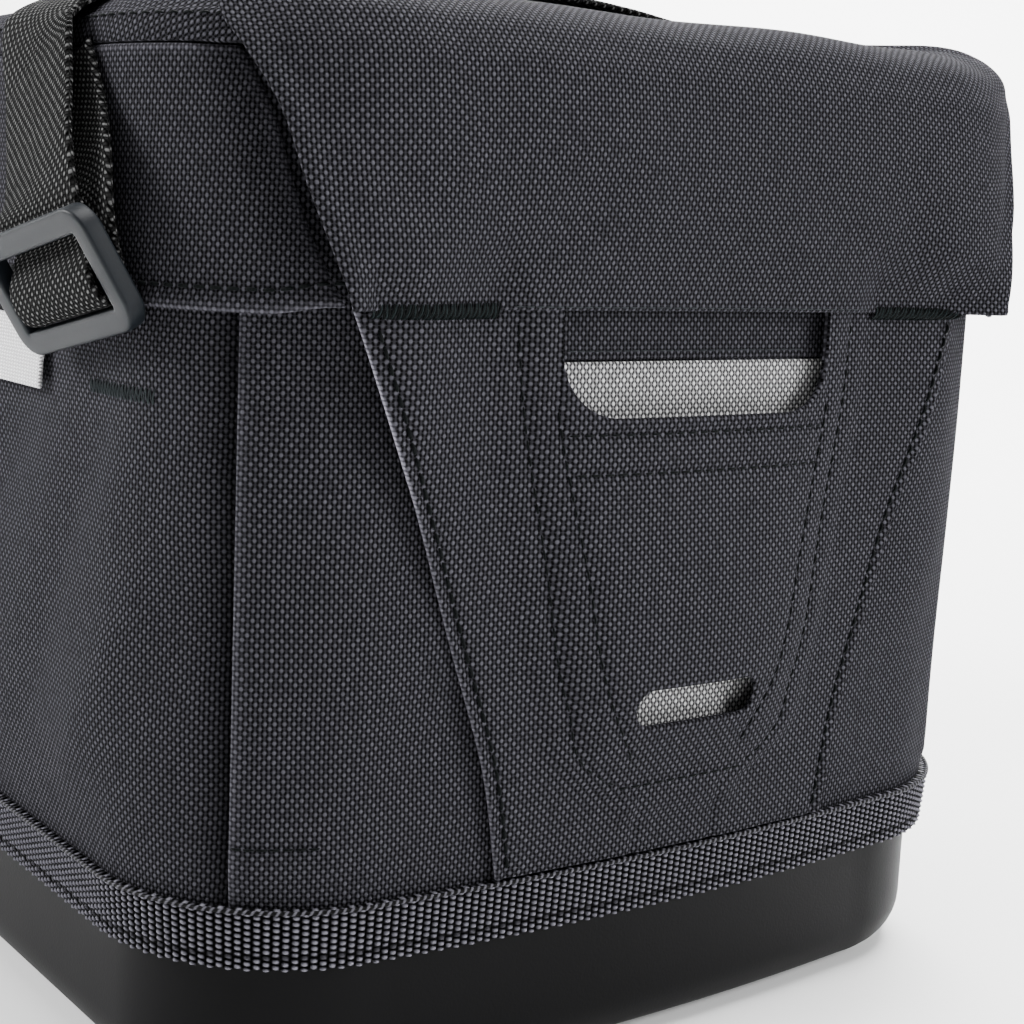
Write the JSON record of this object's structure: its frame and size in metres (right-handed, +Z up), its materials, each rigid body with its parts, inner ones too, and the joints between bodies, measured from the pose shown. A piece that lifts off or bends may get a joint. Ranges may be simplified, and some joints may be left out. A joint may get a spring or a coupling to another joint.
{
  "type": "tackle bag",
  "caption": "Soft tackle bag with a moulded base, taped seam, hanging lid, webbing straps with plastic sliders and a tapering end panel with a tool pocket.",
  "frame": {"origin": "middle of the flat underside of the moulded base", "axes": "+X along the bag's length towards the end with the tool pocket, +Z up, -Y is the front with the sliders"},
  "size_m": [0.4052, 0.274, 0.2541],
  "materials": {
    "cloth": "charcoal plain-weave polyester",
    "base": "fine-grained moulded foam",
    "tape": "coarse woven binding tape",
    "webbing": "ribbed polyester webbing",
    "slider": "satin moulded plastic",
    "lining": "light grey woven polyester"
  },
  "bodies": {
    "root": {"base_tray": "base", "base_binding": "tape", "body_front_panel": "cloth", "body_back_panel": "cloth", "body_right_panel": "cloth", "body_left_panel": "cloth", "plier_panel": "cloth", "pocket_lining": "lining", "pocket_facing": "cloth", "plain_end_panel": "cloth", "lid_top": "cloth", "lid_front_skirt": "cloth", "lid_back_skirt": "cloth", "lid_right_overlay": "cloth", "lid_left_overlay": "cloth", "front_tape": "lining", "strap_right": "webbing", "strap_left": "webbing", "slider_right": "slider", "slider_left": "slider"}
  },
  "joints": []
}
